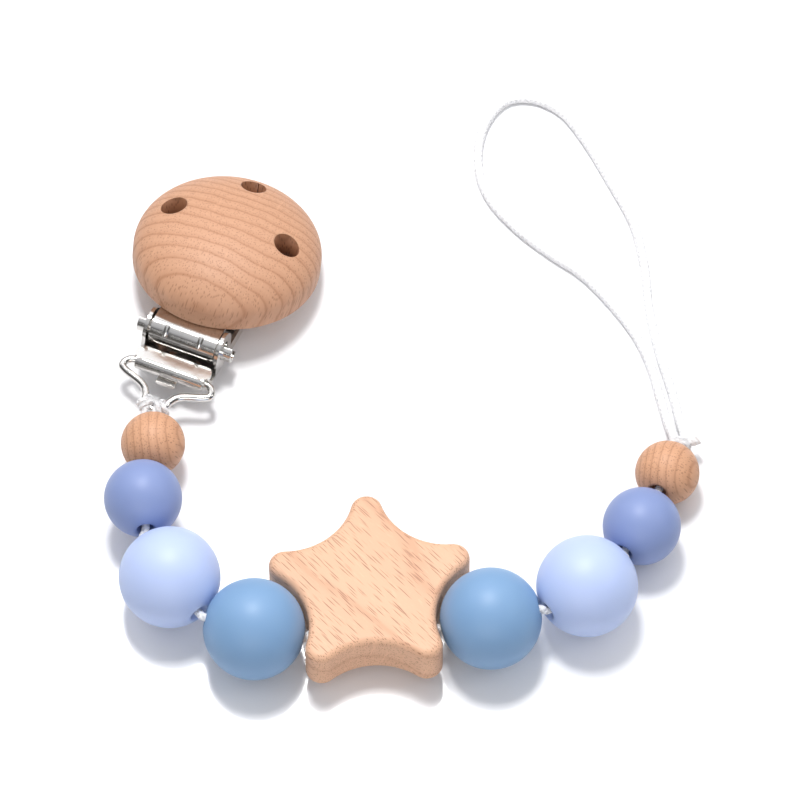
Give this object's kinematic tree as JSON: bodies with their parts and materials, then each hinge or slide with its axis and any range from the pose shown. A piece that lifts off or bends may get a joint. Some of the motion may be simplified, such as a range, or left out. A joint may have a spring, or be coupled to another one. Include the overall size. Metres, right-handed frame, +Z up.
{
  "type": "pacifier",
  "caption": "Pacifier holder: beech-faced metal garment clip, wire loop, blue silicone and beech beads with a beech star on a white cord that ends in a loop.",
  "frame": {"origin": "table level under the middle of the holder's own box, the cord left out", "axes": "+X along the star's bore towards the loop's side of the chain, +Y from the star towards the clip and the free cord loop, +Z up from the table"},
  "size_m": [0.114, 0.1295, 0.019],
  "materials": {
    "beech": "satin",
    "silicone_mid_blue": "matte",
    "silicone_pale_blue": "matte",
    "silicone_dusk_blue": "matte",
    "nickel": "polished",
    "pad_plastic": "matte",
    "cord": "matte"
  },
  "bodies": {
    "root": {"wire_loop": "nickel", "cord_hitch": "cord", "cord_run": "cord", "cord_knot": "cord", "cord_loop": "cord"},
    "clip_base": {"base_plate": "nickel", "jaw_pad": "pad_plastic"},
    "lever": {"clip_disc": "beech", "disc_brads": "nickel", "lever_plate": "nickel"},
    "star": {"star_bead": "beech"},
    "mid_left": {"mid_bead_left": "silicone_mid_blue"},
    "pale_left": {"pale_bead_left": "silicone_pale_blue"},
    "dusk_left": {"dusk_bead_left": "silicone_dusk_blue"},
    "wood_left": {"wood_bead_left": "beech"},
    "mid_right": {"mid_bead_right": "silicone_mid_blue"},
    "pale_right": {"pale_bead_right": "silicone_pale_blue"},
    "dusk_right": {"dusk_bead_right": "silicone_dusk_blue"},
    "wood_right": {"wood_bead_right": "beech"}
  },
  "joints": [
    {"name": "clip_swing", "type": "hinge", "parent": "root", "child": "clip_base", "pos_m": [-0.04317, 0.01197, 0.006], "axis": [0.9063, -0.4226, 0], "range_deg": [-75, 60]},
    {"name": "clip_lever", "type": "hinge", "parent": "clip_base", "child": "lever", "pos_m": [-0.03985, 0.01908, 0.0067], "axis": [0.9063, -0.4226, 0], "range_deg": [0, 75]},
    {"name": "star_swing", "type": "hinge", "parent": "root", "child": "star", "pos_m": [-0.00711, -0.04539, 0.00696], "axis": [1, 0, 0], "range_deg": [-12, 7]},
    {"name": "mid_left_spin", "type": "hinge", "parent": "root", "child": "mid_left", "pos_m": [-0.02909, -0.04539, 0.0095], "axis": [-0.9624, 0.2115, 0.1705], "continuous": true},
    {"name": "pale_left_spin", "type": "hinge", "parent": "root", "child": "pale_left", "pos_m": [-0.04443, -0.03384, 0.0095], "axis": [-0.5621, 0.8266, 0.0279], "continuous": true},
    {"name": "dusk_left_spin", "type": "hinge", "parent": "root", "child": "dusk_left", "pos_m": [-0.04895, -0.01742, 0.0104], "axis": [-0.058, 0.9949, -0.0824], "continuous": true},
    {"name": "wood_left_spin", "type": "hinge", "parent": "root", "child": "wood_left", "pos_m": [-0.04686, -0.00425, 0.0075], "axis": [0.0767, 0.9777, -0.1956], "continuous": true},
    {"name": "mid_right_spin", "type": "hinge", "parent": "root", "child": "mid_right", "pos_m": [0.01488, -0.04539, 0.0095], "axis": [0.981, 0.1031, 0.1645], "continuous": true},
    {"name": "pale_right_spin", "type": "hinge", "parent": "root", "child": "pale_right", "pos_m": [0.03317, -0.03956, 0.0095], "axis": [0.8358, 0.5474, -0.0426], "continuous": true},
    {"name": "dusk_right_spin", "type": "hinge", "parent": "root", "child": "dusk_right", "pos_m": [0.04436, -0.02677, 0.0081], "axis": [0.5472, 0.829, -0.1154], "continuous": true},
    {"name": "wood_right_spin", "type": "hinge", "parent": "root", "child": "wood_right", "pos_m": [0.0502, -0.01459, 0.0061], "axis": [0.4033, 0.8714, -0.2792], "continuous": true}
  ]
}
